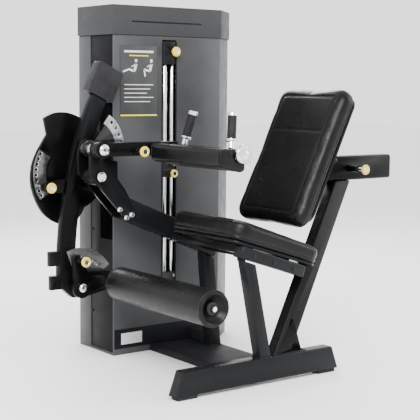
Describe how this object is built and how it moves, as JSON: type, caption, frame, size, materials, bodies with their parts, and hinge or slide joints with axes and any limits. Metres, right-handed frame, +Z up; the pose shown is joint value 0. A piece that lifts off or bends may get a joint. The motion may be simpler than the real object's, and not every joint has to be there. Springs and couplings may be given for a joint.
{
  "type": "leg curl machine",
  "caption": "Seated leg curl machine: seat and back rest on a slanted frame, swinging arm with ankle roller and counterweight, lap pad, and a weight tower.",
  "frame": {"origin": "middle of the footprint, on the floor", "axes": "+X towards the user's back, +Y from the open side towards the weight tower, +Z up"},
  "size_m": [1.384, 1.053, 1.4004],
  "materials": {
    "black_frame": "semi-gloss powder coat",
    "rubber_foot": "matt",
    "vinyl": "grained vinyl, satin",
    "plated_steel": "satin plated",
    "chrome": "polished",
    "yellow_knob": "gloss",
    "grip_rubber": "matt, moulded",
    "belt_rubber": "matt, woven",
    "tower_grey": "satin powder coat",
    "tower_dark": "satin",
    "cap_grey": "satin",
    "placard_print": "printed, matt",
    "cast_iron": "painted, rough",
    "pulley_plastic": "moulded"
  },
  "bodies": {
    "root": {"foot_bar": "black_frame", "foot_pad_front": "rubber_foot", "foot_pad_rear": "rubber_foot", "base_plate": "black_frame", "base_spine": "black_frame", "far_post": "black_frame", "front_leg": "black_frame", "rear_leg": "black_frame", "seat_rail": "black_frame", "seat_cushion": "vinyl", "seat_board": "black_frame", "head_bracket_near": "black_frame", "lap_pivot_spacer": "plated_steel", "head_bracket_far": "black_frame", "lap_sector": "plated_steel", "bracket_beam": "black_frame", "lap_pivot_bolt": "chrome", "slide_tube": "black_frame", "slide_tube_cap": "rubber_foot", "tower_shell": "tower_grey", "tower_side_panel": "tower_dark", "tower_cap": "cap_grey", "kick_panel": "tower_dark", "placard": "placard_print", "resting_plates": "cast_iron", "guide_rod_1": "chrome", "guide_rod_2": "chrome", "belt": "belt_rubber", "add_on_block": "black_frame"},
    "lap": {"lap_arm": "black_frame", "lap_bar": "black_frame", "lap_bar_cap": "chrome", "grip_near": "grip_rubber", "grip_far": "grip_rubber", "lap_pad": "vinyl"},
    "lap_latch": {"lap_pin": "yellow_knob"},
    "back": {"back_carriage": "black_frame", "back_cushion": "vinyl", "back_board": "black_frame"},
    "back_latch": {"back_pin": "yellow_knob"},
    "knee": {"cam": "black_frame", "cam_index_plate": "plated_steel", "knee_shaft": "plated_steel"},
    "arm": {"movement_arm": "black_frame", "counterweight": "cast_iron", "link_pivot_bolt": "chrome", "link_sector": "plated_steel"},
    "arm_latch": {"rom_pin": "yellow_knob"},
    "link": {"roller_link": "black_frame", "roller_axle": "chrome", "roller_axle_cap": "chrome"},
    "link_latch": {"link_pin": "yellow_knob"},
    "roller": {"ankle_roller": "vinyl"},
    "carriage": {"lifted_plate_1": "cast_iron", "lifted_plate_2": "cast_iron", "top_plate": "black_frame"},
    "selector": {"weight_selector_pin": "yellow_knob"},
    "belt_pulley_low": {"low_pulley": "pulley_plastic"},
    "belt_pulley_top": {"top_pulley": "pulley_plastic"},
    "add_on_latch": {"add_on_pin": "yellow_knob"}
  },
  "joints": [
    {"name": "lap_swing", "type": "hinge", "parent": "root", "child": "lap", "pos_m": [-0.53242, 0.0455, 0.848], "axis": [0, 1, 0], "range_deg": [-48, 6]},
    {"name": "lap_latch_pull", "type": "slide", "parent": "lap", "child": "lap_latch", "axis": [0, -1, 0], "range_m": [-0.005, 0.008], "stiffness_N_per_m": 400},
    {"name": "back_travel", "type": "slide", "parent": "root", "child": "back", "axis": [1, 0, 0], "range_m": [-0.105, 0.035]},
    {"name": "back_latch_pull", "type": "slide", "parent": "root", "child": "back_latch", "axis": [0, -1, 0], "range_m": [-0.005, 0.008], "stiffness_N_per_m": 400},
    {"name": "knee_turn", "type": "hinge", "parent": "root", "child": "knee", "pos_m": [-0.51142, 0.2135, 0.745], "axis": [0, 1, 0], "range_deg": [-14, 95]},
    {"name": "arm_start", "type": "hinge", "parent": "knee", "child": "arm", "pos_m": [-0.51142, 0.2135, 0.745], "axis": [0, 1, 0], "range_deg": [0, 45]},
    {"name": "arm_latch_pull", "type": "slide", "parent": "arm", "child": "arm_latch", "axis": [0, -1, 0], "range_m": [-0.005, 0.008], "stiffness_N_per_m": 400},
    {"name": "link_swing", "type": "hinge", "parent": "arm", "child": "link", "pos_m": [-0.53542, 0.1805, 0.312], "axis": [0, 1, 0], "range_deg": [0, 52]},
    {"name": "link_latch_pull", "type": "slide", "parent": "link", "child": "link_latch", "axis": [0, -1, 0], "range_m": [-0.005, 0.008], "stiffness_N_per_m": 400},
    {"name": "roller_spin", "type": "hinge", "parent": "link", "child": "roller", "pos_m": [-0.42442, -0.2195, 0.331], "axis": [0, 1, 0], "continuous": true},
    {"name": "stack_travel", "type": "slide", "parent": "root", "child": "carriage", "axis": [0, 0, 1], "range_m": [-0.3962, 0.0586]},
    {"name": "selector_pull", "type": "slide", "parent": "carriage", "child": "selector", "axis": [0, -1, 0], "range_m": [0, 0.03]},
    {"name": "low_pulley_turn", "type": "hinge", "parent": "root", "child": "belt_pulley_low", "pos_m": [-0.20432, 0.3255, 1.012], "axis": [0, 1, 0], "range_deg": [-550, 85]},
    {"name": "top_pulley_turn", "type": "hinge", "parent": "root", "child": "belt_pulley_top", "pos_m": [-0.11082, 0.3255, 1.196], "axis": [0, 1, 0], "range_deg": [-70, 450]},
    {"name": "add_on_pull", "type": "slide", "parent": "root", "child": "add_on_latch", "axis": [0, -1, 0], "range_m": [0, 0.012], "stiffness_N_per_m": 400}
  ],
  "couplings": [
    {"joint": "stack_travel", "follows": "knee_turn", "m_per_rad": -0.2388},
    {"joint": "low_pulley_turn", "follows": "knee_turn", "ratio": -5.7},
    {"joint": "top_pulley_turn", "follows": "knee_turn", "ratio": 4.65}
  ]
}
